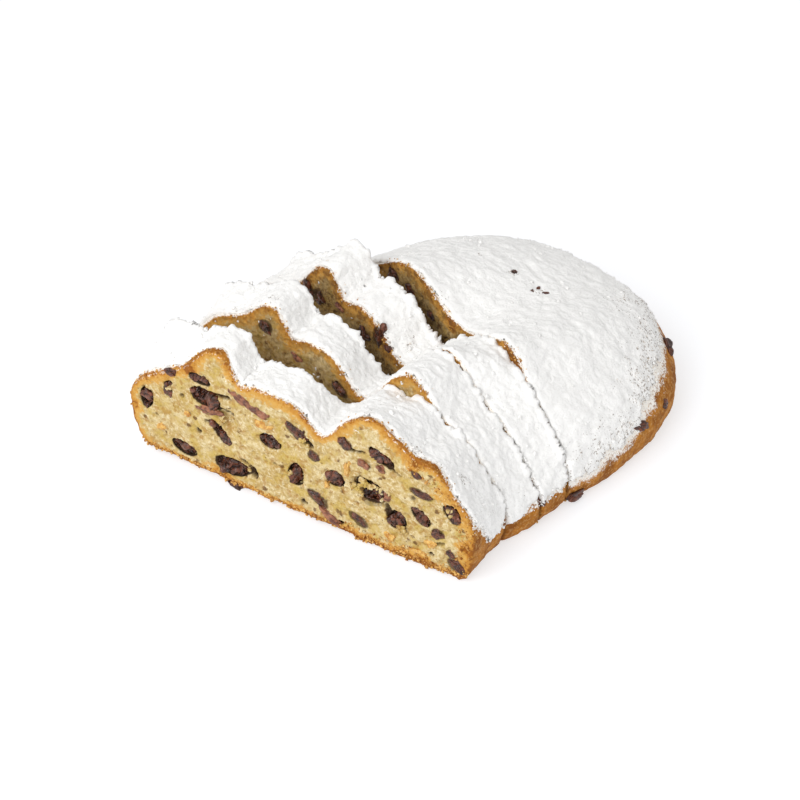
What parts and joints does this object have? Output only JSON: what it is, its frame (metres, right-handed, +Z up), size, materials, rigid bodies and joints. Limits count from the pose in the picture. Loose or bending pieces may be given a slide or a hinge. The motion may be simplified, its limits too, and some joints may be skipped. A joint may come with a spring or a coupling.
{
  "type": "stollen fruit bread",
  "caption": "Sugar-dusted fruit loaf with its front part cut in slices fanned before the uncut round-ended heel, raisins showing in the foremost cut.",
  "frame": {"origin": "bottom centre of the whole's bounding box, on the surface the loaf rests on", "axes": "+Y along the loaf from the slices to the heel's round end, +X across it towards the side where the slices nearly touch, +Z up"},
  "size_m": [0.1644, 0.1958, 0.0632],
  "materials": {
    "heel_crust": "baked sweet bread with a golden brown crust under a thick coat of white icing sugar; pale yellow crumb on its cut; dull",
    "slice_1_crumb": "pale yellow fruit bread crumb on the cuts, thin golden brown crust round it, white icing sugar on top; dull",
    "slice_2_crumb": "pale yellow fruit bread crumb on the cuts, thin golden brown crust round it, white icing sugar on top; dull",
    "slice_3_crumb": "pale yellow fruit bread crumb on the cuts, thin golden brown crust round it, white icing sugar on top; dull",
    "raisin_1_skin": "dark brown, almost black dried grape, wrinkled and slightly glossy",
    "raisin_2_skin": "dark brown, almost black dried grape, wrinkled and slightly glossy",
    "raisin_3_skin": "dark brown, almost black dried grape, wrinkled and slightly glossy",
    "raisin_4_skin": "dark brown, almost black dried grape, wrinkled and slightly glossy",
    "raisin_5_skin": "dark brown, almost black dried grape, wrinkled and slightly glossy",
    "raisin_6_skin": "dark brown, almost black dried grape, wrinkled and slightly glossy",
    "raisin_7_skin": "dark brown, almost black dried grape, wrinkled and slightly glossy",
    "raisin_8_skin": "dark brown, almost black dried grape, wrinkled and slightly glossy",
    "raisin_9_skin": "dark brown, almost black dried grape, wrinkled and slightly glossy",
    "raisin_10_skin": "dark brown, almost black dried grape, wrinkled and slightly glossy",
    "raisin_11_skin": "dark brown, almost black dried grape, wrinkled and slightly glossy",
    "raisin_12_skin": "dark brown, almost black dried grape, wrinkled and slightly glossy",
    "raisin_13_skin": "dark brown, almost black dried grape, wrinkled and slightly glossy",
    "raisin_14_skin": "dark brown, almost black dried grape, wrinkled and slightly glossy"
  },
  "bodies": {
    "root": {"heel": "heel_crust", "slice_1": "slice_1_crumb", "slice_2": "slice_2_crumb", "slice_3": "slice_3_crumb", "raisin_1": "raisin_1_skin", "raisin_2": "raisin_2_skin", "raisin_3": "raisin_3_skin", "raisin_4": "raisin_4_skin", "raisin_5": "raisin_5_skin", "raisin_6": "raisin_6_skin", "raisin_7": "raisin_7_skin", "raisin_8": "raisin_8_skin", "raisin_9": "raisin_9_skin", "raisin_10": "raisin_10_skin", "raisin_11": "raisin_11_skin", "raisin_12": "raisin_12_skin", "raisin_13": "raisin_13_skin", "raisin_14": "raisin_14_skin"}
  },
  "joints": []
}
